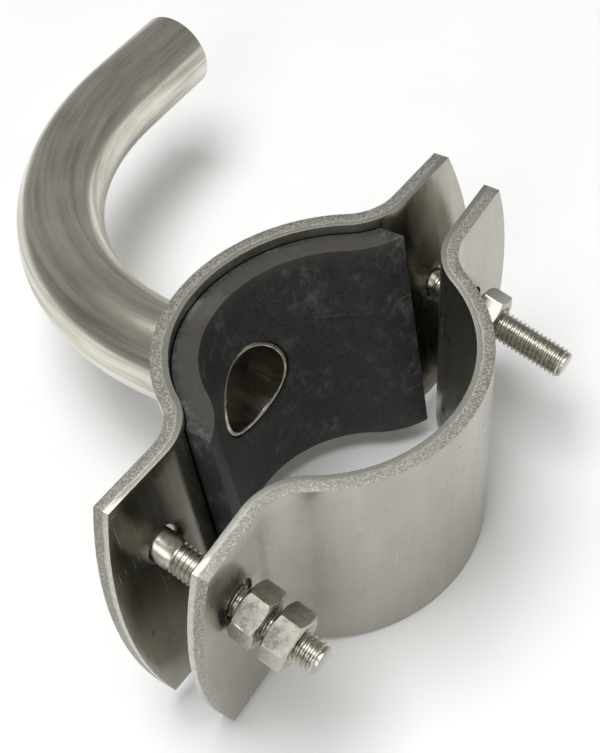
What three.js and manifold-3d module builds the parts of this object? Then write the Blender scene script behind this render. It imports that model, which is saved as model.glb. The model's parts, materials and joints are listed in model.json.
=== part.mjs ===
// Two-half pipe clamp: a rubber-lined rear half with a welded tube hook, and a plain front half
// that slides along two bolts. Millimetres. The pipe's axis is +Z, the hook is on the +Y side,
// the ears reach out along X. The origin is on the lined half's axis, halfway up its strap.
import * as THREE from "three";
import { mergeVertices } from "three/addons/utils/BufferGeometryUtils.js";
import Module from "manifold-3d";

// Clamp halves
const strapThickness = 4.2;
const rearStrapWidth = 66;
const frontStrapWidth = 62;
const boreRadius = 36.6; // inner face of the bent strap
const bendRadius = 12.2; // inside radius of the bend between band and ear
const earOffset = 9.8; // from the band's centre to the inner face of its ears
const earFlat = 18.4; // from the bend to the square corners of an ear
const earBulge = 6; // the ear's end bows out this much more
const holeClearance = 1; // radial, round a bolt

// How the bolts droop in the rear half's holes, and how the loose front half hangs on them
const boltDroop = THREE.MathUtils.degToRad(18);
const frontYaw = THREE.MathUtils.degToRad(4.4);
const frontPitch = THREE.MathUtils.degToRad(7.6);
const frontRoll = THREE.MathUtils.degToRad(1.5);
const earGap = 9.7; // between the ears of the two halves, halfway between the bolts
const frontShift = 1.2; // the front half sits this much to the right
const frontDrop = 4.3; // and this much low

// Bolts and nuts, M8
const boltDiameter = 8;
const boltLength = 50; // under the head
const threadLength = 40;
const threadRelief = 0.1; // the thread is this much smaller in radius than the shank
const boltFromBend = 7.9; // from the end of a bend to the axis of its bolt
const leftBoltHeight = 6.7;
const rightBoltHeight = -4.1;
const headAcrossFlats = 13;
const headHeight = 5.3;
const leftHeadSlack = 0.3; // left under the heads while the bolts are loose
const rightHeadSlack = 4;
const nutAcrossFlats = 13;
const nutHeight = 6.5;
const nutBoreClearance = 0.2; // radial, round the shank size
const jamNutGap = 1.6; // between the left nut and its jam nut
const cornerChamfer = 0.8; // height of the chamfer on a hexagon's corners
const tipChamfer = 0.9;

// Rubber liner
const linerThickness = 6.1;
const linerHeight = 64.6;
const linerDrop = 1.8; // its middle is this much below the middle of the strap
const linerSetback = 9; // the liner's ends stop this far short of the flats of the ears

// Hook
const tubeDiameter = 25;
const tubeWall = 1.2;
const hookStraight = 17; // from the band's outer face to the start of the bend
const hookBendRadius = 87.5;
const hookBendAngle = THREE.MathUtils.degToRad(86.5);
const hookLeg = 28; // straight leg after the bend
const hookTilt = THREE.MathUtils.degToRad(1); // the free end leans down this much
const weldSize = 4; // radius of the bead laid into the corner

// Fits and facets
const seatGap = 0.3; // between faces that touch
const cutOverrun = 5; // how far a cutting shape runs past what it cuts
const crownSteps = 48;
const bendSteps = 10;
const holeSides = 40;
const hookSides = 36;
const hookSteps = 30;
const pipeSides = 96;
const boltSides = 36;

// Sizes that follow from the ones above
const bandOuter = boreRadius + strapThickness;
const outerBend = bendRadius + strapThickness;
const bendCentreY = earOffset + outerBend;
const bendCentreX = Math.sqrt((boreRadius + outerBend) ** 2 - bendCentreY ** 2);
const earOuter = earOffset + strapThickness;
const earReach = bendCentreX + earFlat;
const bandLean = Math.atan2(bendCentreY, bendCentreX);
const linerReach = bendCentreX - linerSetback;
const linerInner = boreRadius - seatGap - linerThickness;
const tubeRadius = tubeDiameter / 2;
const bendStartY = bandOuter + hookStraight;
const headCorner = headAcrossFlats / 2 / Math.cos(Math.PI / 6);
const nutCorner = nutAcrossFlats / 2 / Math.cos(Math.PI / 6);

const wasm = await Module();
wasm.setup();

function solidOf(geometry) {
  const bare = geometry.clone();
  for (const name of Object.keys(bare.attributes)) {
    if (name !== "position") bare.deleteAttribute(name);
  }
  const merged = mergeVertices(bare, 1e-4);
  return new wasm.Manifold(
    new wasm.Mesh({
      numProp: 3,
      vertProperties: merged.attributes.position.array,
      triVerts: new Uint32Array(merged.index.array),
    }),
  );
}

function geometryOf(solid) {
  const mesh = solid.getMesh();
  const positions = new Float32Array(mesh.numVert * 3);
  for (let i = 0; i < mesh.numVert; i++) {
    const start = mesh.numProp * i;
    positions.set(mesh.vertProperties.subarray(start, start + 3), 3 * i);
  }
  const geometry = new THREE.BufferGeometry();
  geometry.setAttribute("position", new THREE.BufferAttribute(positions, 3));
  geometry.setIndex(new THREE.BufferAttribute(new Uint32Array(mesh.triVerts), 1));
  return geometry;
}

function material(color, roughness, metalness) {
  return new THREE.MeshStandardMaterial({ color, roughness, metalness });
}

function polishedSteel() {
  return material(0xaaa89e, 0.32, 1);
}

function satinSteel() {
  return material(0xb4b2a8, 0.42, 1);
}

function boltSteel() {
  return material(0x9a968a, 0.28, 1);
}

function weldSteel() {
  return material(0x8c8a84, 0.5, 1);
}

function blackRubber() {
  return material(0x3a3836, 0.8, 0);
}

function piece(name, solid, look) {
  const mesh = new THREE.Mesh(geometryOf(solid), look);
  mesh.name = name;
  return mesh;
}

function arc(centreX, centreY, radius, from, to, steps) {
  const points = [];
  for (let i = 0; i <= steps; i++) {
    const angle = from + ((to - from) * i) / steps;
    const x = centreX + radius * Math.cos(angle);
    points.push(new THREE.Vector2(x, centreY + radius * Math.sin(angle)));
  }
  return points;
}

function prism(points, height) {
  const shape = new THREE.Shape(points);
  const geometry = new THREE.ExtrudeGeometry(shape, { depth: height, bevelEnabled: false });
  return geometry.translate(0, 0, -height / 2);
}

// A round bar along Y, from one y to another.
function barAlongY(radius, fromY, toY, sides) {
  const geometry = new THREE.CylinderGeometry(radius, radius, toY - fromY, sides);
  return geometry.translate(0, (fromY + toY) / 2, 0);
}

// One face of the bent strap seen along the pipe, from the right ear over the crown to the left.
function strapFace(offset) {
  const reach = earReach + earBulge + cutOverrun;
  const radius = outerBend - offset;
  const bend = arc(bendCentreX, bendCentreY, radius, -Math.PI / 2, bandLean - Math.PI, bendSteps);
  const right = [new THREE.Vector2(reach, earOffset + offset), ...bend];
  const crown = arc(0, 0, boreRadius + offset, bandLean, Math.PI - bandLean, crownSteps);
  const left = right.map((p) => new THREE.Vector2(-p.x, p.y)).reverse();
  return [...right, ...crown.slice(1, -1), ...left];
}

// The flat outline of a half seen along Y, its ears ending in shallow bows.
function strapOutline(width) {
  const radius = ((width / 2) ** 2 + earBulge ** 2) / (2 * earBulge);
  const sweep = Math.asin(width / 2 / radius);
  const centreX = earReach + earBulge - radius;
  const right = arc(centreX, 0, radius, -sweep, sweep, 2 * bendSteps);
  const left = arc(-centreX, 0, radius, Math.PI - sweep, Math.PI + sweep, 2 * bendSteps);
  const depth = 2 * (bandOuter + cutOverrun);
  return prism([...right, ...left], depth).rotateX(Math.PI / 2);
}

// A bent strap with its crown towards +Y and a punched hole at each of the given points.
function strap(width, holes) {
  const section = [...strapFace(0), ...strapFace(strapThickness).reverse()];
  let solid = solidOf(prism(section, width)).intersect(solidOf(strapOutline(width)));
  for (const hole of holes) {
    const radius = boltDiameter / 2 + holeClearance;
    const punch = barAlongY(radius, earOffset - cutOverrun, earOuter + cutOverrun, holeSides);
    solid = solid.subtract(solidOf(punch.translate(hole.x, 0, hole.z)));
  }
  return solid;
}

// The bolts' frame is the part's frame tipped so that -Y droops.
const boltFrame = new THREE.Group();
boltFrame.rotation.x = boltDroop;
boltFrame.updateMatrixWorld(true);

// The front half faces the other way.
const frontFrame = new THREE.Group();
frontFrame.rotation.set(-frontPitch, frontRoll, Math.PI + frontYaw, "ZXY");
frontFrame.position.set(frontShift, 2 * earOffset - earGap, -frontDrop);
frontFrame.updateMatrixWorld(true);

const bolts = {
  left: { x: -bendCentreX - boltFromBend, z: leftBoltHeight },
  right: { x: bendCentreX + boltFromBend, z: rightBoltHeight },
};

// Where a bolt's axis crosses the plane y of a half's own frame.
function crossing(bolt, frame, y) {
  const start = new THREE.Vector3(bolt.x, bandOuter, bolt.z);
  const axis = new THREE.Ray(start, new THREE.Vector3(0, -1, 0));
  axis.applyMatrix4(boltFrame.matrixWorld);
  axis.applyMatrix4(frame.clone().invert());
  const plane = new THREE.Plane(new THREE.Vector3(0, 1, 0), -y);
  return axis.intersectPlane(plane, new THREE.Vector3());
}

function holesOf(frame) {
  const middle = earOffset + strapThickness / 2;
  return Object.values(bolts).map((bolt) => crossing(bolt, frame, middle));
}

// The y, in the bolts' frame, at which a bolt leaves the outer face of a half's ear.
function earFaceY(bolt, frame) {
  const point = crossing(bolt, frame, earOuter).applyMatrix4(frame);
  return boltFrame.worldToLocal(point).y;
}

function rearClampHalf() {
  const hole = barAlongY(tubeRadius + seatGap, 0, bandOuter + cutOverrun, holeSides);
  const solid = strap(rearStrapWidth, holesOf(new THREE.Matrix4())).subtract(solidOf(hole));
  return piece("rear_clamp_half", solid, polishedSteel());
}

function frontClampHalf() {
  return piece("front_clamp_half", strap(frontStrapWidth, holesOf(frontFrame.matrixWorld)), satinSteel());
}

// The liner follows the band and the start of both bends, and is cut square at its ends.
function rearLiner() {
  const section = [...strapFace(-seatGap), ...strapFace(-seatGap - linerThickness).reverse()];
  const sheet = solidOf(prism(section, linerHeight).translate(0, 0, -linerDrop));
  const block = new THREE.BoxGeometry(2 * linerReach, 4 * bandOuter, 2 * rearStrapWidth);
  const hole = barAlongY(tubeRadius + seatGap, 0, bandOuter + cutOverrun, holeSides);
  const solid = sheet.intersect(solidOf(block)).subtract(solidOf(hole));
  return piece("rear_liner", solid, blackRubber());
}

// The hook's centre line: out along Y, round the bend towards +X, then the straight leg.
class HookLine extends THREE.Curve {
  constructor(leg) {
    super();
    this.startY = linerInner - cutOverrun;
    this.lead = bendStartY - this.startY;
    this.bend = hookBendRadius * hookBendAngle;
    this.leg = leg;
  }

  getPoint(t, target = new THREE.Vector3()) {
    const along = t * (this.lead + this.bend + this.leg);
    const turned = THREE.MathUtils.clamp((along - this.lead) / hookBendRadius, 0, hookBendAngle);
    const before = Math.min(along - this.lead, 0);
    const after = Math.max(along - this.lead - this.bend, 0);
    const x = hookBendRadius * (1 - Math.cos(turned)) + after * Math.sin(turned);
    const y = hookBendRadius * Math.sin(turned) + after * Math.cos(turned);
    return target.set(x, bendStartY + before + y, 0);
  }
}

function hookBar(radius, leg) {
  const section = new THREE.Shape(arc(0, 0, radius, 0, 2 * Math.PI, hookSides).slice(0, -1));
  const path = new HookLine(leg);
  const bar = new THREE.ExtrudeGeometry(section, { steps: hookSteps, extrudePath: path });
  return bar.rotateY(hookTilt);
}

// The tube's inner end is cut to the liner's curve.
function hookTube() {
  const outside = solidOf(hookBar(tubeRadius, hookLeg));
  const inside = solidOf(hookBar(tubeRadius - tubeWall, hookLeg + cutOverrun));
  const radius = linerInner + seatGap;
  const pipe = new THREE.CylinderGeometry(radius, radius, 2 * tubeDiameter, pipeSides);
  const solid = outside.subtract(inside).subtract(solidOf(pipe.rotateX(Math.PI / 2)));
  return piece("hook_tube", solid, polishedSteel());
}

// The line on which the tube's outside meets the band's outside.
class SaddleLine extends THREE.Curve {
  getPoint(t, target = new THREE.Vector3()) {
    const angle = 2 * Math.PI * t;
    const x = tubeRadius * Math.cos(angle);
    return target.set(x, Math.sqrt(bandOuter ** 2 - x ** 2), tubeRadius * Math.sin(angle));
  }
}

function hookWeld() {
  const bead = new THREE.TubeGeometry(new SaddleLine(), holeSides, weldSize, bendSteps, true);
  const tube = barAlongY(tubeRadius + seatGap, 0, bendStartY, hookSides);
  const radius = bandOuter + seatGap;
  const band = new THREE.CylinderGeometry(radius, radius, rearStrapWidth, pipeSides);
  const solid = solidOf(bead).subtract(solidOf(tube)).subtract(solidOf(band.rotateX(Math.PI / 2)));
  return piece("hook_weld", solid, weldSteel());
}

// A hexagon along -Y from y = 0, its corners chamfered at the far end or at both ends.
function hexagon(acrossFlats, height, bothEnds) {
  const corner = acrossFlats / 2 / Math.cos(Math.PI / 6);
  const face = acrossFlats / 2 - seatGap;
  const bar = barAlongY(corner, -height, 0, 6);
  const outline = [
    new THREE.Vector2(0, -height),
    new THREE.Vector2(face, -height),
    new THREE.Vector2(corner + seatGap, cornerChamfer - height),
    new THREE.Vector2(corner + seatGap, bothEnds ? -cornerChamfer : 0),
    new THREE.Vector2(bothEnds ? face : corner + seatGap, 0),
    new THREE.Vector2(0, 0),
  ];
  const unique = outline.filter((p, i) => i === 0 || p.distanceTo(outline[i - 1]) > 0);
  return solidOf(bar).intersect(solidOf(new THREE.LatheGeometry(unique, boltSides)));
}

function nut(name) {
  const bore = barAlongY(boltDiameter / 2 + nutBoreClearance, -nutHeight - 1, 1, boltSides);
  const solid = hexagon(nutAcrossFlats, nutHeight, true).subtract(solidOf(bore));
  return piece(name, solid, boltSteel());
}

// A bolt along -Y with the underside of its head at y = 0.
function bolt(name) {
  const shank = boltDiameter / 2;
  const thread = shank - threadRelief;
  const profile = [
    new THREE.Vector2(0, -boltLength),
    new THREE.Vector2(thread - tipChamfer, -boltLength),
    new THREE.Vector2(thread, tipChamfer - boltLength),
    new THREE.Vector2(thread, threadLength - boltLength),
    new THREE.Vector2(shank, threadLength + threadRelief - boltLength),
    new THREE.Vector2(shank, headHeight / 2),
    new THREE.Vector2(0, headHeight / 2),
  ];
  const stem = solidOf(new THREE.LatheGeometry(profile, boltSides));
  const head = hexagon(headAcrossFlats, headHeight, false).rotate([180, 0, 0]);
  return piece(name, stem.add(head), boltSteel());
}

// How far a hexagon must stand off an ear where its corner runs up the bend.
function bendRise(axis, frame, corner) {
  const inner = Math.abs(crossing(axis, frame, earOuter).x) - corner;
  const into = THREE.MathUtils.clamp(bendCentreX - inner, 0, bendRadius);
  return bendRadius - Math.sqrt(bendRadius ** 2 - into ** 2);
}

// How far a hexagon must stand off an ear because the bolts aren't square to it.
function tiltRise(frame, corner) {
  const along = new THREE.Vector3(0, 1, 0).transformDirection(boltFrame.matrixWorld);
  const square = new THREE.Vector3(0, 1, 0).transformDirection(frame);
  const lean = along.angleTo(square);
  return corner * Math.abs(Math.tan(lean));
}

// A bolt's head stands off the rear ear as far as its tilt and its slack need.
function seatBolt(mesh, axis, slack) {
  const frame = new THREE.Matrix4();
  const stand = tiltRise(frame, headCorner) + bendRise(axis, frame, headCorner);
  mesh.position.set(axis.x, earFaceY(axis, frame) + stand + slack, axis.z);
  return mesh;
}

// A nut stands on the front ear, or beyond the nut before it.
function seatNut(mesh, axis, beyond) {
  const frame = frontFrame.matrixWorld;
  const stand = tiltRise(frame, nutCorner) + bendRise(axis, frame, nutCorner) + seatGap;
  mesh.position.set(axis.x, earFaceY(axis, frame) - stand - beyond, axis.z);
  return mesh;
}

frontFrame.add(frontClampHalf());
boltFrame.add(seatBolt(bolt("left_bolt"), bolts.left, leftHeadSlack));
boltFrame.add(seatBolt(bolt("right_bolt"), bolts.right, rightHeadSlack));
boltFrame.add(seatNut(nut("left_nut"), bolts.left, 0));
boltFrame.add(seatNut(nut("left_jam_nut"), bolts.left, nutHeight + jamNutGap));
boltFrame.add(seatNut(nut("right_nut"), bolts.right, 0));

const clamp = new THREE.Group();
clamp.add(rearClampHalf(), rearLiner(), hookTube(), hookWeld(), boltFrame, frontFrame);

export default clamp;
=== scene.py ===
import json
from math import asin, atan2, cos, hypot, pi, radians, sin, sqrt, tan

import bmesh
import bpy
from mathutils import Matrix, Vector


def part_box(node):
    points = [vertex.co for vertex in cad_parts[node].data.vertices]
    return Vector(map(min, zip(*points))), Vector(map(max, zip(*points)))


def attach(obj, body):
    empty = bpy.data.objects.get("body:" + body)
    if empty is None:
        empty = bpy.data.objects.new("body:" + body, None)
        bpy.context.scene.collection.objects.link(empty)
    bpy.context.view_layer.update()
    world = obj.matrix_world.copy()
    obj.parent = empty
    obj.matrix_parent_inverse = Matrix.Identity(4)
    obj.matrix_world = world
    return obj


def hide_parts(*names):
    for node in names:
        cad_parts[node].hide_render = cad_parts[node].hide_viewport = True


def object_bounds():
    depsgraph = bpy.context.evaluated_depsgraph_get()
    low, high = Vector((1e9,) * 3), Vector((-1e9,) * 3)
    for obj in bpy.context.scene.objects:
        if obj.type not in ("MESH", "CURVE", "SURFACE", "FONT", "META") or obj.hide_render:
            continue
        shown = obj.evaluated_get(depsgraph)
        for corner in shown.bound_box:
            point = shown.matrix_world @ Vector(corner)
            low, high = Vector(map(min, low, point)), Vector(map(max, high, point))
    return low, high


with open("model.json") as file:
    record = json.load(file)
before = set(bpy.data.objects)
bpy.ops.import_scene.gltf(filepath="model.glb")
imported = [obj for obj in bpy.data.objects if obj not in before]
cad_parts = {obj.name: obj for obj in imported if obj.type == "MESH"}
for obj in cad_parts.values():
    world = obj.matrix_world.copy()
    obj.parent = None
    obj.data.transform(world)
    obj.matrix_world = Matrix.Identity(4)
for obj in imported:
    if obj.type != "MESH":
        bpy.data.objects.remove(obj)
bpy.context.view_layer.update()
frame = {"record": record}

MM = 0.001

# ---------------------------------------------------------------- sizes, in metres
STRAP = 4.2 * MM
BORE = 36.6 * MM
BEND = 12.2 * MM
EAR_OFFSET = 9.8 * MM
EAR_FLAT = 18.4 * MM
EAR_BULGE = 6 * MM
HOLE = 5 * MM
FRONT_WIDTH = 62 * MM
STRAP_EDGE = 0.35 * MM

OUTER_BEND = BEND + STRAP
BEND_Y = EAR_OFFSET + OUTER_BEND
BEND_X = sqrt((BORE + OUTER_BEND) ** 2 - BEND_Y**2)
LEAN = atan2(BEND_Y, BEND_X)
EAR_REACH = BEND_X + EAR_FLAT
BAND_OUTER = BORE + STRAP

LINER_GAP = 0.3 * MM
LINER_THICK = 6.1 * MM
LINER_INNER = BORE - LINER_GAP - LINER_THICK

TUBE = 12.5 * MM
TUBE_WALL = 1.2 * MM
TUBE_GAP = 0.3 * MM
HOOK_STRAIGHT = 17 * MM
HOOK_BEND = 87.5 * MM
HOOK_ANGLE = radians(86.5)
HOOK_LEG = 28 * MM
HOOK_TILT = radians(1)
WELD = 4 * MM

BOLT = 4 * MM
BOLT_LENGTH = 50 * MM
THREAD = 40 * MM
THREAD_CREST = 3.9 * MM
THREAD_ROOT = 3.3 * MM
TIP_CHAMFER = 0.9 * MM
PITCH = 1.25 * MM
ACROSS_FLATS = 13 * MM
HEX_CORNER = ACROSS_FLATS / 2 / cos(pi / 6)
HEAD_HEIGHT = 5.3 * MM
NUT_HEIGHT = 6.5 * MM
NUT_BORE = 4.2 * MM

# ---------------------------------------------------------------- edges, clearances and steps
LINER_EDGE = 0.7 * MM
LINER_RIM = 0.6 * MM
TUBE_EDGE = 0.25 * MM
HEX_EDGE = 0.12 * MM
NEAR = 0.01 * MM
SPARE = 5 * MM
TUBE_CUT_START = 20 * MM
BEND_STEPS = 14
CROWN_STEPS = 72
HOOK_STEPS = 72
ROUND_SIDES = 96
WELD_RIPPLES = 34

# ---------------------------------------------------------------- how the front half hangs
JOINTS = {joint["name"]: joint for joint in frame["record"]["behaviour"]["joints"]}
DROOP = asin(-JOINTS["clamp_slide"]["axis"][2])
FRONT_YAW = radians(4.4)
FRONT_PITCH = radians(7.6)
FRONT_ROLL = radians(1.5)
EAR_GAP = 9.7 * MM
FRONT_SHIFT = 1.2 * MM
FRONT_DROP = 4.3 * MM

BOLT_FRAME = Matrix.Rotation(DROOP, 4, "X")
FRONT_FRAME = (
    Matrix.Translation((FRONT_SHIFT, 2 * EAR_OFFSET - EAR_GAP, -FRONT_DROP))
    @ Matrix.Rotation(pi + FRONT_YAW, 4, "Z")
    @ Matrix.Rotation(-FRONT_PITCH, 4, "X")
    @ Matrix.Rotation(FRONT_ROLL, 4, "Y")
)
REAR_FRAME = Matrix.Identity(4)


# ---------------------------------------------------------------- shader maths
class Amount:
    """A number that changes over a surface; sums on it add the nodes they need."""

    def __init__(self, finish, socket):
        self.finish = finish
        self.socket = socket

    def join(self, operation, first, second):
        return self.finish.amount("ShaderNodeMath", {"operation": operation}, {0: first, 1: second})

    def __add__(self, other):
        return self.join("ADD", self, other)

    __radd__ = __add__

    def __sub__(self, other):
        return self.join("SUBTRACT", self, other)

    def __rsub__(self, other):
        return self.join("SUBTRACT", other, self)

    def __mul__(self, other):
        return self.join("MULTIPLY", self, other)

    __rmul__ = __mul__

    def most(self, other):
        return self.join("MAXIMUM", self, other)

    def ramp(self, low, high, start=0.0, end=1.0):
        """From start to end, smoothly, as this number goes from low to high."""
        settings = {"interpolation_type": "SMOOTHSTEP"}
        inputs = {"Value": self, "From Min": low, "From Max": high, "To Min": start, "To Max": end}
        return self.finish.amount("ShaderNodeMapRange", settings, inputs)


class Finish:
    """One material: its shader and the nodes that drive it."""

    def __init__(self, name, **constants):
        self.material = bpy.data.materials.new(name)
        self.material.use_nodes = True
        self.tree = self.material.node_tree
        self.shader = self.tree.nodes["Principled BSDF"]
        for socket, value in constants.items():
            self.shader.inputs[socket.replace("_", " ")].default_value = value
        self.place = self.node("ShaderNodeTexCoord").outputs["Object"]

    def plug(self, socket, value):
        source = value.socket if isinstance(value, Amount) else value
        if isinstance(source, bpy.types.NodeSocket):
            self.tree.links.new(source, socket)
        else:
            socket.default_value = source

    def node(self, kind, settings=None, inputs=None):
        made = self.tree.nodes.new(kind)
        for key, value in (settings or {}).items():
            setattr(made, key, value)
        for key, value in (inputs or {}).items():
            self.plug(made.inputs[key], value)
        return made

    def amount(self, kind, settings=None, inputs=None, output=0):
        return Amount(self, self.node(kind, settings, inputs).outputs[output])

    def noise(self, size, detail=4.0, roughness=0.55, stretch=(1, 1, 1), rotation=(0, 0, 0), place=None):
        """Cloudy noise from 0 to 1 in lumps of the given size in metres, stretched and turned."""
        mapping = {"Vector": place or self.place, "Rotation": rotation, "Scale": stretch}
        vector = self.node("ShaderNodeMapping", None, mapping).outputs[0]
        inputs = {"Vector": vector, "Scale": 1 / size, "Detail": detail, "Roughness": roughness}
        return self.amount("ShaderNodeTexNoise", {"normalize": True}, inputs)

    def cells(self, size):
        """Distance to the nearest of many scattered points, about the given size apart."""
        inputs = {"Vector": self.place, "Scale": 1 / size}
        return self.amount("ShaderNodeTexVoronoi", {"feature": "F1"}, inputs)

    def measured(self, name):
        """A number stored on the piece's own points."""
        return self.amount("ShaderNodeAttribute", {"attribute_name": name}, None, "Fac")

    def laid_flat(self, name):
        """A place stored on the piece's own points."""
        return self.node("ShaderNodeAttribute", {"attribute_name": name}).outputs["Vector"]

    def blend(self, factor, first, second):
        """Two colours mixed; a colour is three numbers or another mix."""
        made = self.node("ShaderNodeMix", {"data_type": "RGBA"})
        self.plug(made.inputs[0], factor)
        for socket, colour in ((made.inputs[6], first), (made.inputs[7], second)):
            self.plug(socket, (*colour, 1) if isinstance(colour, tuple) else colour)
        return made.outputs[2]

    def bump(self, height, depth, strength, under=None):
        """A bump of the given depth in metres, laid over another where one is given."""
        inputs = {"Height": height, "Distance": depth, "Strength": strength}
        if under is not None:
            inputs["Normal"] = under
        return self.node("ShaderNodeBump", None, inputs).outputs[0]

    def set(self, **inputs):
        for socket, value in inputs.items():
            self.plug(self.shader.inputs[socket.replace("_", " ")], value)
        return self.material


# ---------------------------------------------------------------- finishes
def rolled_steel(name, light, dark, smooth, rough):
    """Cold-rolled stainless face: grain along the strap, bands up it, scratches and dull stains."""
    finish = Finish(name, Metallic=1.0)
    flat = finish.laid_flat("unrolled")
    grain = finish.noise(0.22 * MM, 3, 0.6, (0.02, 1, 1), place=flat)
    smear = finish.noise(9 * MM, 4, 0.6, (1, 1, 0.55), place=flat)
    band = finish.noise(5 * MM, 3, 0.55, (1, 1, 0.12), place=flat)
    stain = finish.noise(4.5 * MM, 5, 0.62, place=flat).ramp(0.55, 0.8)
    spot = finish.noise(3.6 * MM, 2, 0.4, place=flat).ramp(0.74, 0.8)
    line_a = finish.noise(0.6 * MM, 2, 0.5, (1, 1, 0.03), (0.0, 0.35, 0.0), flat).ramp(0.66, 0.7)
    line_b = finish.noise(0.7 * MM, 2, 0.5, (0.05, 1, 1), (0.0, 0.5, 0.0), flat).ramp(0.67, 0.71)
    scratch = line_a.most(line_b) * finish.noise(14 * MM, 2, place=flat).ramp(0.45, 0.62)
    tone = smear.ramp(0.25, 0.75) * 0.4 + band.ramp(0.3, 0.7) * 0.4 + grain * 0.2
    colour = finish.blend(tone, dark, light)
    colour = finish.blend(stain * 0.35, colour, tuple(0.6 * part for part in dark))
    colour = finish.blend(spot * 0.6, colour, tuple(0.35 * part for part in dark))
    colour = finish.blend(scratch * 0.5, colour, tuple(min(1.3 * part, 1) for part in light))
    roughness = smear.ramp(0.2, 0.8, smooth, rough) + grain * 0.06 + stain * 0.05 + scratch * 0.06
    wave = finish.bump(band, 0.25 * MM, 0.3)
    fine = finish.bump(grain, 0.012 * MM, 0.6, wave)
    return finish.set(
        Base_Color=colour,
        Roughness=roughness,
        Normal=finish.bump(1 - scratch, 0.03 * MM, 0.6, fine),
    )


def sheared_edge():
    """The strap's cut edge: a bright burnished strip, then a torn, speckled one."""
    finish = Finish("sheared_strap_edge", Metallic=1.0)
    across = finish.measured("across")
    wander = finish.noise(2.5 * MM, 3) * 0.3
    torn = (across + wander).ramp(0.42, 0.6)
    speck = finish.noise(0.45 * MM, 4, 0.7).ramp(0.47, 0.58)
    pit = finish.cells(0.7 * MM).ramp(0.1, 0.45)
    drag = finish.noise(0.3 * MM, 2, 0.5, (1, 1, 0.2))
    clean = finish.blend(drag.ramp(0.3, 0.7), (0.42, 0.41, 0.36), (0.56, 0.55, 0.49))
    ragged = finish.blend(speck, (0.24, 0.232, 0.205), (0.48, 0.47, 0.42))
    height = torn * (speck * 0.6 + pit * 0.4)
    return finish.set(
        Base_Color=finish.blend(torn, clean, ragged),
        Roughness=0.27 + torn * 0.22 + speck * torn * 0.1,
        Normal=finish.bump(height, 0.07 * MM, 0.6),
    )


def drawn_tube():
    """Polished tube: long bright and dark lines along it, partly polish lines and partly painted reflection
    streaks, soft haze and a few handling marks.
    """
    finish = Finish("polished_tube_steel", Metallic=1.0)
    skin = finish.laid_flat("straightened")
    line = finish.noise(0.35 * MM, 3, 0.6, (1, 0.03, 1), (0, 0, 0), skin)
    polish_and_reflection_streak = finish.noise(2.2 * MM, 4, 0.6, (1, 0.035, 1), (0, 0, 0), skin)
    haze = finish.noise(11 * MM, 4, 0.6, (1, 0.35, 1), (0, 0, 0), skin)
    mark = finish.noise(2.2 * MM, 4, 0.65).ramp(0.66, 0.74)
    # the long streaks in the colour are painted reflection streaks along the tube, laid over its real
    # polish lines
    tone = haze.ramp(0.3, 0.7) * 0.35 + polish_and_reflection_streak.ramp(0.32, 0.68) * 0.65
    colour = finish.blend(tone, (0.34, 0.32, 0.262), (0.78, 0.755, 0.67))
    colour = finish.blend(mark * 0.4, colour, (0.22, 0.205, 0.17))
    fine = finish.bump(line, 0.012 * MM, 0.6)
    return finish.set(
        Base_Color=colour,
        Roughness=polish_and_reflection_streak.ramp(0.3, 0.7, 0.3, 0.13) + line * 0.05 + mark * 0.12,
        Normal=finish.bump(polish_and_reflection_streak, 0.1 * MM, 0.35, fine),
    )


def weld_bead():
    """Grey-brown bead with a dull oxide between its ripples."""
    finish = Finish("weld_bead_steel", Metallic=1.0)
    ripple = finish.measured("ripple")
    soot = finish.noise(2.5 * MM, 5, 0.65).ramp(0.35, 0.7)
    colour = finish.blend(ripple, (0.16, 0.13, 0.1), (0.5, 0.47, 0.42))
    colour = finish.blend(soot * 0.5, colour, (0.2, 0.19, 0.22))
    return finish.set(
        Base_Color=colour,
        Roughness=0.34 + soot * 0.22,
        Normal=finish.bump(finish.noise(0.5 * MM, 4), 0.08 * MM, 0.6),
    )


def bolt_finish(name, light, dark):
    """Bright bolt stock: darker in cloudy patches, with small nicks."""
    finish = Finish(name, Metallic=1.0)
    dirt = finish.noise(1.6 * MM, 5, 0.65)
    nick = finish.cells(2.6 * MM).ramp(0.1, 0.03)
    lathe = finish.noise(0.25 * MM, 3, 0.6, (1, 0.2, 1))
    worn = finish.measured("worn")
    colour = finish.blend(dirt.ramp(0.3, 0.72), dark, light)
    colour = finish.blend(worn * 0.6, colour, (0.6, 0.58, 0.52))
    return finish.set(
        Base_Color=finish.blend(nick * 0.5, colour, (0.1, 0.095, 0.08)),
        Roughness=dirt.ramp(0.2, 0.8, 0.17, 0.36) + lathe * 0.06,
        Normal=finish.bump(lathe - nick, 0.03 * MM, 0.5),
    )


def liner_rubber():
    """Black moulded rubber, scuffed grey where it has been handled, lighter brown along its top and bottom
    edges towards the inner face.
    """
    finish = Finish("liner_black_rubber", Metallic=0.0, Specular_IOR_Level=0.25)
    cloud = finish.noise(10 * MM, 5, 0.6)
    smear = finish.noise(2.4 * MM, 5, 0.7, (1, 1, 0.5), (0.3, 0.5, 0.2))
    dust = finish.noise(0.7 * MM, 5, 0.7)
    line = finish.noise(1.1 * MM, 2, 0.5, (0.06, 0.06, 1), (0.2, 0.6, 0.9)).ramp(0.66, 0.7)
    scuff = (cloud.ramp(0.42, 0.66) * smear.ramp(0.42, 0.7)).most(line * cloud.ramp(0.4, 0.6))
    rim = finish.measured("rim") * finish.measured("seam").ramp(0.1, 0.35)
    colour = finish.blend(dust.ramp(0.3, 0.7), (0.018, 0.018, 0.0175), (0.048, 0.048, 0.046))
    colour = finish.blend(scuff * 0.75, colour, (0.15, 0.147, 0.14))
    # lighter brown along the top and bottom edges, towards the inner face
    colour = finish.blend(rim * (0.55 + smear * 0.4), colour, (0.055, 0.05, 0.043))
    return finish.set(
        Base_Color=colour,
        Roughness=0.46 + dust * 0.12 + scuff * 0.2,
        Normal=finish.bump(dust * 0.5 + smear * 0.5, 0.14 * MM, 0.6),
    )


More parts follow.
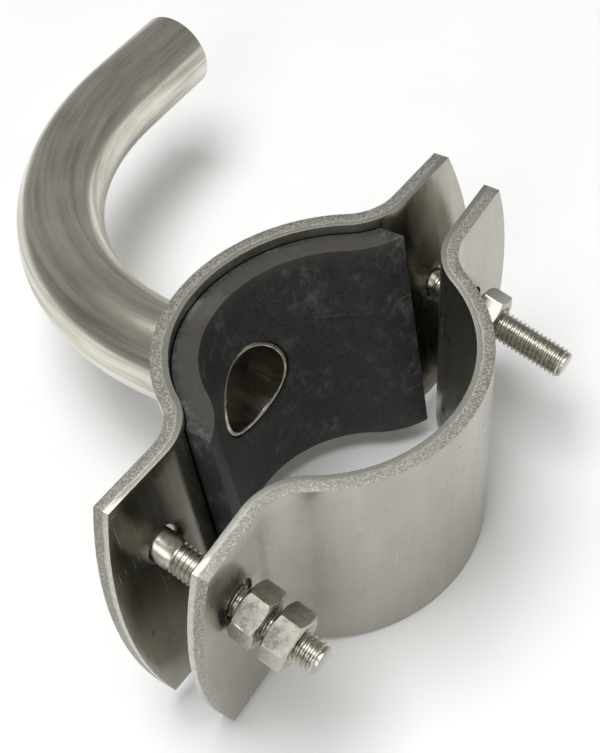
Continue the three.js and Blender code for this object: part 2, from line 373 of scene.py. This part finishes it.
# ---------------------------------------------------------------- modelling
def clear_selection():
    if bpy.context.object and bpy.context.object.mode != "OBJECT":
        bpy.ops.object.mode_set(mode="OBJECT")
    bpy.ops.object.select_all(action="DESELECT")


def newest(name):
    piece = bpy.context.object
    piece.name = name
    piece.data.name = name
    return piece


def hold(piece):
    clear_selection()
    piece.select_set(True)
    bpy.context.view_layer.objects.active = piece


def edit(piece, action="DESELECT"):
    """Open a piece's mesh with nothing selected, or all of it."""
    hold(piece)
    bpy.ops.object.mode_set(mode="EDIT")
    bpy.ops.mesh.select_mode(type="VERT")
    bpy.ops.mesh.select_all(action=action)


def done():
    bpy.ops.object.mode_set(mode="OBJECT")


def pick(piece, test):
    """Select the points that pass a test, and the edges and faces between them."""
    mesh = bmesh.from_edit_mesh(piece.data)
    for point in mesh.verts:
        point.select = test(point.co)
    mesh.select_flush(True)
    bmesh.update_edit_mesh(piece.data)


def reshape(piece, move):
    """Put each point where move sends it."""
    for point in piece.data.vertices:
        point.co = move(point.co.copy())
    piece.data.update()


def settle(piece):
    """Apply the object's own place to its mesh."""
    hold(piece)
    bpy.ops.object.transform_apply(location=True, rotation=True, scale=True)


def modify(piece, kind, **settings):
    hold(piece)
    made = piece.modifiers.new(kind.title(), kind)
    for key, value in settings.items():
        setattr(made, key, value)
    bpy.ops.object.modifier_apply(modifier=made.name)


def thicken(piece, wall, offset):
    """Give a sheet its wall, to the side that the offset's sign says."""
    modify(piece, "SOLIDIFY", thickness=wall, offset=offset, use_even_offset=True)
    outwards(piece)


def cut(piece, tool, operation="DIFFERENCE"):
    modify(piece, "BOOLEAN", object=tool, operation=operation, solver="EXACT")
    bpy.data.objects.remove(tool)


def soften(piece, width, segments=3, angle=35):
    modify(
        piece, "BEVEL", width=width, segments=segments, limit_method="ANGLE",
        angle_limit=radians(angle), harden_normals=False, use_clamp_overlap=True,
    )


def smooth(piece, angle):
    hold(piece)
    bpy.ops.object.shade_smooth_by_angle(angle=radians(angle))


def outwards(piece):
    """Merge points that meet and turn every face outwards."""
    edit(piece, "SELECT")
    bpy.ops.mesh.remove_doubles(threshold=0.002 * MM)
    bpy.ops.mesh.normals_make_consistent(inside=False)
    done()


def bar(radius, low, high, sides=64):
    """A round bar along Y, for cutting."""
    clear_selection()
    middle = (0, (low + high) / 2, 0)
    bpy.ops.mesh.primitive_cylinder_add(
        vertices=sides, radius=radius, depth=high - low, location=middle, rotation=(pi / 2, 0, 0)
    )
    piece = newest("bar")
    settle(piece)
    return piece


def store(piece, name, values):
    """Keep a number, or a place, on each point of the piece."""
    spatial = isinstance(values[0], Vector)
    layer = piece.data.attributes.new(name, "FLOAT_VECTOR" if spatial else "FLOAT", "POINT")
    for kept, value in zip(layer.data, values):
        if spatial:
            kept.vector = value
        else:
            kept.value = value


def finish_with(piece, *materials):
    piece.data.materials.clear()
    for material in materials:
        piece.data.materials.append(material)


def hand_over(piece, body, node):
    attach(piece, body)
    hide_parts(node)


# ---------------------------------------------------------------- clamp halves
def bent_sheet(name, width, inset=0.0):
    """The inner face of a strap, or a sheet inside it: ear, bend, band, bend, ear."""
    clear_selection()
    bpy.ops.mesh.primitive_grid_add(
        x_subdivisions=3, y_subdivisions=16, size=1, rotation=(pi / 2, 0, 0),
        location=(BEND_X + EAR_FLAT / 2, EAR_OFFSET - inset, 0),
    )
    piece = newest(name)
    piece.scale = (EAR_FLAT, width, 1)
    settle(piece)
    edit(piece)
    pick(piece, lambda co: abs(co.x - BEND_X) < NEAR)
    bend = pi / 2 - LEAN
    for steps, angle, centre in (
        (BEND_STEPS, bend, (BEND_X, BEND_Y, 0)),
        (CROWN_STEPS, -2 * bend, (0, 0, 0)),
        (BEND_STEPS, bend, (-BEND_X, BEND_Y, 0)),
    ):
        bpy.ops.mesh.spin(steps=steps, angle=angle, center=centre, axis=(0, 0, 1))
    for _ in range(3):
        bpy.ops.mesh.extrude_region_move(TRANSFORM_OT_translate={"value": (-EAR_FLAT / 3, 0, 0)})
    done()
    return piece


def bow_ends(piece, width):
    """Bow the ends of the ears outwards."""
    radius = ((width / 2) ** 2 + EAR_BULGE**2) / (2 * EAR_BULGE)

    def move(co):
        out = abs(co.x) - BEND_X
        if out > NEAR:
            bow = EAR_BULGE - radius + sqrt(max(radius**2 - co.z**2, 0))
            co.x += (bow * out / EAR_FLAT) * (1 if co.x > 0 else -1)
        return co

    reshape(piece, move)


def unrolled(co):
    """A strap point laid flat: how far along, how deep from the inner face, how high."""
    side = 1 if co.x > 0 else -1
    out = abs(co.x)
    half_crown = (pi / 2 - LEAN) * BORE
    half_ear = half_crown + (pi / 2 - LEAN) * OUTER_BEND
    if out >= BEND_X:
        return Vector((side * (half_ear + out - BEND_X), co.y - EAR_OFFSET, co.z))
    angle = atan2(co.y, out)
    if angle < LEAN:
        turn = pi - LEAN + atan2(co.y - BEND_Y, out - BEND_X)
        depth = OUTER_BEND - hypot(co.y - BEND_Y, out - BEND_X)
        return Vector((side * (half_crown + turn * OUTER_BEND), depth, co.z))
    return Vector((side * (pi / 2 - angle) * BORE, hypot(co.x, co.y) - BORE, co.z))


def crossing(bolt, half, y):
    """Where a bolt's axis crosses the plane y of a half's own frame."""
    inverse = half.inverted() @ BOLT_FRAME
    start = inverse @ Vector((bolt.x, 0, bolt.y))
    along = inverse.to_3x3() @ Vector((0, -1, 0))
    return start + along * ((y - start.y) / along.y)


def strap(name, width, half, face, edge, tube_hole):
    """One clamp half: bent, bowed, thickened, punched and broken at its edges."""
    piece = bent_sheet(name, width)
    bow_ends(piece, width)
    thicken(piece, STRAP, -1)
    for bolt in BOLTS.values():
        hole = crossing(bolt, half, EAR_OFFSET + STRAP / 2)
        tool = bar(HOLE, EAR_OFFSET - SPARE, EAR_OFFSET + STRAP + SPARE)
        tool.data.transform(Matrix.Translation((hole.x, 0, hole.z)))
        cut(piece, tool)
    if tube_hole:
        cut(piece, bar(TUBE + TUBE_GAP, TUBE_CUT_START, BAND_OUTER + SPARE))
    soften(piece, STRAP_EDGE)
    flat = [unrolled(point.co) for point in piece.data.vertices]
    store(piece, "unrolled", flat)
    store(piece, "across", [spot.y / STRAP for spot in flat])
    finish_with(piece, face, edge)
    reach = EAR_REACH - MM
    for side in piece.data.polygons:
        top = abs(side.normal.z) > 0.4
        end = abs(side.normal.x) > 0.4 and abs(side.center.x) > reach
        side.material_index = 1 if top or end else 0
    piece.data.transform(half)
    smooth(piece, 30)
    return piece


# ---------------------------------------------------------------- liner
def make_liner(material):
    """The rubber sheet along the band and the start of its bends: cut square, holed and rounded."""
    low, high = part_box("rear_liner")
    middle = (low[2] + high[2]) / 2
    half = (high[2] - low[2]) / 2
    piece = bent_sheet("liner_sheet", 2 * half, LINER_GAP)
    thicken(piece, LINER_THICK, 1)
    clear_selection()
    bpy.ops.mesh.primitive_cube_add(size=2)
    block = newest("block")
    block.scale = (high[0], BAND_OUTER, 2 * half)
    settle(block)
    cut(piece, block, "INTERSECT")
    piece.data.transform(Matrix.Translation((0, 0, middle)))
    cut(piece, bar(TUBE + TUBE_GAP, TUBE_CUT_START, BAND_OUTER))
    soften(piece, LINER_EDGE, 4, 50)
    points = [point.co for point in piece.data.vertices]
    rim = [max(abs(co.z - middle) - half + LINER_RIM, 0) / LINER_RIM for co in points]
    depth = [(co.xy.length - LINER_INNER) / LINER_THICK for co in points]
    store(piece, "rim", rim)
    store(piece, "seam", [1 - min(max(share, 0), 1) for share in depth])
    finish_with(piece, material)
    smooth(piece, 40)
    return piece


# ---------------------------------------------------------------- hook
BEND_START = BAND_OUTER + HOOK_STRAIGHT


def straightened(co):
    """A hook point as it was before the tube was bent: across, along and high."""
    turn = atan2(co.y - BEND_START, HOOK_BEND - co.x)
    if co.y < BEND_START:
        return Vector((co.x, co.y - BEND_START, co.z))
    if turn < HOOK_ANGLE:
        radius = hypot(HOOK_BEND - co.x, co.y - BEND_START)
        return Vector((HOOK_BEND - radius, turn * HOOK_BEND, co.z))
    away = Vector((sin(HOOK_ANGLE), cos(HOOK_ANGLE), 0))
    corner = Vector((HOOK_BEND * (1 - cos(HOOK_ANGLE)), BEND_START + HOOK_BEND * sin(HOOK_ANGLE), 0))
    along = (co - corner).dot(away)
    outside = Vector((-away.y, away.x, 0))
    return Vector((-(co - corner).dot(outside), HOOK_ANGLE * HOOK_BEND + along, co.z))


def make_hook(material):
    """A ring drawn out, spun round the bend and drawn out again, then given its wall."""
    clear_selection()
    saddle = LINER_INNER + TUBE_GAP
    bpy.ops.mesh.primitive_circle_add(vertices=ROUND_SIDES, radius=TUBE, rotation=(pi / 2, 0, 0))
    piece = newest("hook_pipe")
    settle(piece)
    edit(piece, "SELECT")
    bpy.ops.mesh.extrude_region_move(TRANSFORM_OT_translate={"value": (0, BEND_START, 0)})
    centre = (HOOK_BEND, BEND_START, 0)
    bpy.ops.mesh.spin(steps=HOOK_STEPS, angle=HOOK_ANGLE, center=centre, axis=(0, 0, 1))
    leg = (HOOK_LEG * sin(HOOK_ANGLE), HOOK_LEG * cos(HOOK_ANGLE), 0)
    bpy.ops.mesh.extrude_region_move(TRANSFORM_OT_translate={"value": leg})
    done()
    reshape(piece, lambda co: Vector((co.x, sqrt(saddle**2 - co.x**2), co.z)) if co.y < MM else co)
    outwards(piece)
    thicken(piece, TUBE_WALL, -1)
    soften(piece, TUBE_EDGE, 3, 40)
    store(piece, "straightened", [straightened(point.co) for point in piece.data.vertices])
    piece.data.transform(Matrix.Rotation(HOOK_TILT, 4, "Y"))
    finish_with(piece, material)
    smooth(piece, 40)
    return piece


def make_weld(material):
    """A bead laid round the tube in overlapping ripples, sitting on the band's curve."""
    clear_selection()
    bpy.ops.mesh.primitive_torus_add(
        major_radius=TUBE, minor_radius=WELD, major_segments=320, minor_segments=20, rotation=(pi / 2, 0, 0)
    )
    piece = newest("weld_ring")
    settle(piece)
    waves = []

    def move(co):
        angle = atan2(co.z, co.x)
        ring = Vector((TUBE * cos(angle), 0, TUBE * sin(angle)))
        out = hypot(co.x - ring.x, co.z - ring.z) / TUBE
        wave = abs(sin(angle * WELD_RIPPLES / 2 + 6 * out))
        waves.append(wave)
        size = 0.88 + 0.1 * wave + 0.02 * sin(3 * angle + 1)
        place = ring + (co - ring) * size
        place.y += sqrt(BAND_OUTER**2 - ring.x**2)
        return place

    reshape(piece, move)
    store(piece, "ripple", waves)
    slack = 0.05 * MM
    cut(piece, bar(TUBE + slack, TUBE_CUT_START, BEND_START, ROUND_SIDES))
    clear_selection()
    bpy.ops.mesh.primitive_cylinder_add(vertices=240, radius=BAND_OUTER + slack, depth=60 * MM)
    cut(piece, newest("band"))
    finish_with(piece, material)
    smooth(piece, 50)
    return piece


# ---------------------------------------------------------------- bolts and nuts
def outline(name, points):
    """An open line through the given points, radius along X and length along Y."""
    clear_selection()
    bpy.ops.mesh.primitive_plane_add(size=MM)
    piece = newest(name)
    edit(piece, "SELECT")
    bpy.ops.mesh.merge(type="CENTER")
    start = (points[0][0], points[0][1], 0)
    bpy.ops.transform.translate(value=start)
    for before, after in zip(points, points[1:]):
        step = (after[0] - before[0], after[1] - before[1], 0)
        bpy.ops.mesh.extrude_vertices_move(TRANSFORM_OT_translate={"value": step})
    done()
    return piece


def turned(name, points, sides=64):
    """A solid turned about Y from an outline that starts and ends on the axis."""
    piece = outline(name, points)
    edit(piece, "SELECT")
    bpy.ops.mesh.spin(steps=sides, angle=2 * pi, center=(0, 0, 0), axis=(0, 1, 0))
    done()
    outwards(piece)
    return piece


def hexagon(name, height, both_ends):
    """A hexagon along -Y from y = 0, its corners turned down at one end or both."""
    clear_selection()
    bpy.ops.mesh.primitive_cylinder_add(
        vertices=6, radius=HEX_CORNER, depth=height, location=(0, -height / 2, 0), rotation=(pi / 2, 0, 0)
    )
    piece = newest(name)
    settle(piece)
    face = ACROSS_FLATS / 2 - 0.25 * MM
    wide = HEX_CORNER + MM
    drop = (wide - face) * tan(radians(32))
    near = [(face, 0), (wide, -drop)] if both_ends else [(wide, MM)]
    far = [(wide, drop - height), (face, -height)]
    chamfer = [(0, near[0][1]), *near, *far, (0, -height)]
    cut(piece, turned("chamfer", chamfer, ROUND_SIDES), "INTERSECT")
    return piece


def wear(piece):
    """Edges shine: one on points where faces meet sharply, fading to nothing elsewhere."""
    mesh = bmesh.new()
    mesh.from_mesh(piece.data)
    sharp = []
    for point in mesh.verts:
        angles = [edge.calc_face_angle(0) for edge in point.link_edges]
        sharp.append(min(max(angles, default=0) / radians(40), 1))
    mesh.free()
    store(piece, "worn", sharp)


def make_nut(name, material, place):
    """A hexagon chamfered at both ends, with a bore countersunk from both."""
    piece = hexagon(name, NUT_HEIGHT, True)
    sink = 0.7 * MM
    wide = NUT_BORE + sink + MM
    bore = [
        (0, MM), (wide, MM),
        (NUT_BORE, -sink), (NUT_BORE, sink - NUT_HEIGHT),
        (wide, -NUT_HEIGHT - MM), (0, -NUT_HEIGHT - MM),
    ]
    cut(piece, turned("bore", bore))
    soften(piece, HEX_EDGE, 2, 25)
    wear(piece)
    finish_with(piece, material)
    piece.data.transform(BOLT_FRAME @ place)
    smooth(piece, 30)
    return piece


def thread(name, length, start):
    """A right-hand thread along Y, cut square at both ends."""
    flank = 0.3 * PITCH
    root = 0.25 * PITCH
    points = [
        (THREAD_ROOT, 0), (THREAD_ROOT, root / 2), (THREAD_CREST, root / 2 + flank),
        (THREAD_CREST, PITCH - root / 2 - flank), (THREAD_ROOT, PITCH - root / 2), (THREAD_ROOT, PITCH),
    ]
    piece = outline(name, points)
    turns = int(length / PITCH) + 2
    modify(
        piece, "SCREW", axis="Y", screw_offset=PITCH, iterations=turns,
        steps=32, render_steps=32, use_merge_vertices=False,
    )
    edit(piece, "SELECT")
    bpy.ops.mesh.remove_doubles(threshold=0.005 * MM)
    for height, outer in ((PITCH, -1), (PITCH + length, 1)):
        bpy.ops.mesh.select_all(action="SELECT")
        bpy.ops.mesh.bisect(
            plane_co=(0, height, 0), plane_no=(0, outer, 0), use_fill=True, clear_outer=True
        )
    done()
    piece.data.transform(Matrix.Translation((0, start - PITCH, 0)))
    outwards(piece)
    return piece


def make_bolt(name, material, place):
    """Hexagon head, plain shank and rolled thread with a turned-down tip."""
    screw = thread(name, THREAD, -BOLT_LENGTH)

    def taper(co):
        depth = co.y + BOLT_LENGTH
        limit = THREAD_CREST - TIP_CHAMFER + max(depth, 0)
        radius = hypot(co.x, co.z)
        if depth < TIP_CHAMFER and radius > limit:
            co.x *= limit / radius
            co.z *= limit / radius
        return co

    reshape(screw, taper)
    top = THREAD - BOLT_LENGTH
    foot = top - 1.2 * MM
    fillet = 0.4 * MM
    lap = 0.1 * MM
    shank = turned(name + "_shank", [
        (0, foot), (THREAD_ROOT, foot),
        (BOLT, top + fillet), (BOLT, -fillet),
        (BOLT + fillet, lap), (0, lap),
    ])
    head = hexagon(name + "_head", HEAD_HEIGHT, False)
    head.data.transform(Matrix.Rotation(pi, 4, "X"))
    soften(head, HEX_EDGE, 2, 25)
    hold(screw)
    shank.select_set(True)
    head.select_set(True)
    bpy.ops.object.join()
    wear(screw)
    finish_with(screw, material)
    screw.data.transform(BOLT_FRAME @ place)
    smooth(screw, 30)
    return screw


# ---------------------------------------------------------------- where the bolts are
def bolt_spot(joint):
    """A nut's seat in the bolts' frame."""
    return BOLT_FRAME.inverted() @ Vector(JOINTS[joint]["pos_m"])


LEFT_NUT = bolt_spot("left_nut_spin")
LEFT_JAM_NUT = bolt_spot("left_jam_nut_spin")
RIGHT_NUT = bolt_spot("right_nut_spin")
BOLTS = {"left": Vector((LEFT_NUT.x, LEFT_NUT.z)), "right": Vector((RIGHT_NUT.x, RIGHT_NUT.z))}


def head_seat(node, spot):
    """How far along its axis a bolt's head sits, from where its tip reaches."""
    low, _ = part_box(node)
    tip = THREAD_CREST - TIP_CHAMFER
    return (low[1] + (spot.y + tip) * sin(DROOP)) / cos(DROOP) + BOLT_LENGTH


# ---------------------------------------------------------------- the object
def build_clamp():
    edge = sheared_edge()
    rear_steel = rolled_steel("rear_strap_steel", (0.48, 0.465, 0.41), (0.32, 0.305, 0.26), 0.14, 0.26)
    front_steel = rolled_steel("front_strap_steel", (0.47, 0.455, 0.405), (0.38, 0.365, 0.32), 0.2, 0.36)
    rear_low, rear_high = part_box("rear_clamp_half")
    rear = strap("rear_strap", rear_high[2] - rear_low[2], REAR_FRAME, rear_steel, edge, True)
    hand_over(rear, "rear_half", "rear_clamp_half")
    front = strap("front_strap", FRONT_WIDTH, FRONT_FRAME, front_steel, edge, False)
    hand_over(front, "front_half", "front_clamp_half")
    hand_over(make_liner(liner_rubber()), "rear_half", "rear_liner")
    hand_over(make_hook(drawn_tube()), "rear_half", "hook_tube")
    hand_over(make_weld(weld_bead()), "rear_half", "hook_weld")


def build_fasteners():
    bolt_steel = bolt_finish("bolt_steel", (0.42, 0.4, 0.35), (0.2, 0.185, 0.155))
    nut_steel = bolt_finish("nut_steel", (0.3, 0.285, 0.245), (0.15, 0.14, 0.118))
    for side, spot in BOLTS.items():
        node = side + "_bolt"
        place = Matrix.Translation((spot.x, head_seat(node, spot), spot.y))
        hand_over(make_bolt(side + "_screw", bolt_steel, place), "rear_half", node)
    for name, body, node, spot in (
        ("left_hexagon_nut", "nut_on_left", "left_nut", LEFT_NUT),
        ("left_locking_nut", "jam_nut_on_left", "left_jam_nut", LEFT_JAM_NUT),
        ("right_hexagon_nut", "nut_on_right", "right_nut", RIGHT_NUT),
    ):
        hand_over(make_nut(name, nut_steel, Matrix.Translation(spot)), body, node)


# ---------------------------------------------------------------- the studio
def lay_floor():
    low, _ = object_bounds()
    clear_selection()
    bpy.ops.mesh.primitive_plane_add(size=6, location=(0, 0, low[2]))
    floor = newest("floor")
    settle(floor)
    paper = Finish("pale_paper", Roughness=0.9)
    grain = paper.noise(40 * MM, 3)
    finish_with(floor, paper.set(Base_Color=paper.blend(grain, (0.86, 0.86, 0.86), (0.9, 0.9, 0.9))))


def soft_light(name, place, aim, size, power, colour=(1, 1, 1)):
    clear_selection()
    bpy.ops.object.light_add(type="AREA", location=place)
    lamp = bpy.context.object
    lamp.name = name
    lamp.data.shape = "RECTANGLE"
    lamp.data.size, lamp.data.size_y = size
    lamp.data.energy = power
    lamp.data.color = colour
    towards = Vector(aim) - Vector(place)
    lamp.rotation_euler = towards.to_track_quat("-Z", "Y").to_euler()


def light_room():
    world = bpy.data.worlds.new("studio")
    bpy.context.scene.world = world
    bpy.context.scene.view_settings.view_transform = "Standard"
    world.use_nodes = True
    sky = world.node_tree.nodes["Background"]
    sky.inputs["Color"].default_value = (0.82, 0.82, 0.8, 1)
    sky.inputs["Strength"].default_value = 0.4
    middle = (0, 0.03, 0)
    soft_light("overhead_softbox", (-0.1, 0.15, 1.1), middle, (0.9, 0.6), 10.5)
    soft_light("left_softbox", (-1.0, -0.3, 0.55), middle, (0.5, 0.8), 4)
    soft_light("front_softbox", (0.5, -1.1, 0.5), middle, (0.7, 0.5), 3.5)


def place_camera():
    """Look down on the clamp from its front left, tipped a little."""
    azimuth = radians(-44.82)
    elevation = radians(44.98)
    roll = radians(-12.23)
    distance = 327.97 * MM
    target = Vector((-11.92, 0, 30.05)) * MM
    back = Vector((sin(azimuth) * cos(elevation), -cos(azimuth) * cos(elevation), sin(elevation)))
    level = (-back).cross(Vector((0, 0, 1))).normalized()
    rise = level.cross(-back)
    right = level * cos(roll) + rise * sin(roll)
    up = rise * cos(roll) - level * sin(roll)
    bpy.ops.object.camera_add()
    camera = bpy.context.object
    camera.name = "camera"
    camera.data.lens = 71.47
    turn = Matrix((right, up, back)).transposed().to_4x4()
    camera.matrix_world = Matrix.Translation(target + back * distance) @ turn
    bpy.context.scene.camera = camera


build_clamp()
build_fasteners()
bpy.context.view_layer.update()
lay_floor()
light_room()
place_camera()
